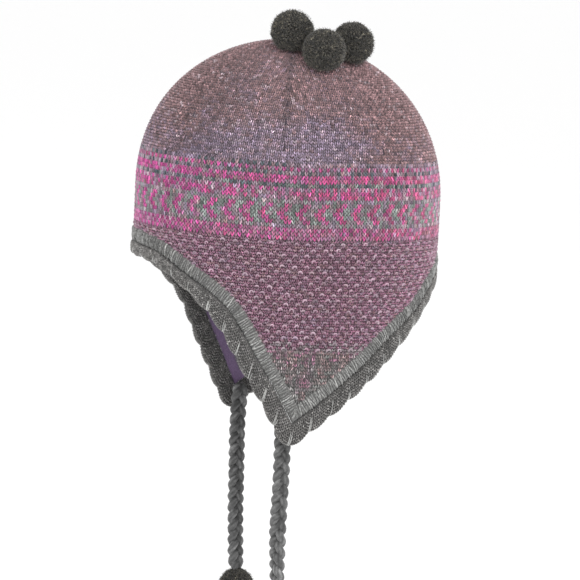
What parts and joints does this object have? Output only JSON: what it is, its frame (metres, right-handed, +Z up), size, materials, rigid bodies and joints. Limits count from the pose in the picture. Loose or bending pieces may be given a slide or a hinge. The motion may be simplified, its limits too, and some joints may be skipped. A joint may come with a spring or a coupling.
{
  "type": "knitted chullo hat with ear flaps",
  "caption": "Adult knitted chullo: domed crown with a patterned band, two pointed ear flaps, scalloped grey edging, braided ties and wool pompoms.",
  "frame": {"origin": "inside of the crown's top, where the hat sits on a head", "axes": "+Z up, wearer faces -Y, wearer's left is +X"},
  "size_m": [0.1649, 0.2015, 0.408],
  "materials": {
    "mauve_knit": "marled mauve grey knit with pink pattern rows",
    "grey_knit": "marled grey rib knit",
    "charcoal_wool": "dense trimmed wool pile"
  },
  "bodies": {
    "root": {"knit_body": "mauve_knit", "edge_rib": "grey_knit", "edge_scallops": "grey_knit", "tie_left": "grey_knit", "tie_right": "grey_knit", "crown_pompom_middle": "charcoal_wool", "crown_pompom_front": "charcoal_wool", "crown_pompom_back": "charcoal_wool", "tie_pompom_left": "charcoal_wool", "tie_pompom_right": "charcoal_wool"}
  },
  "joints": []
}
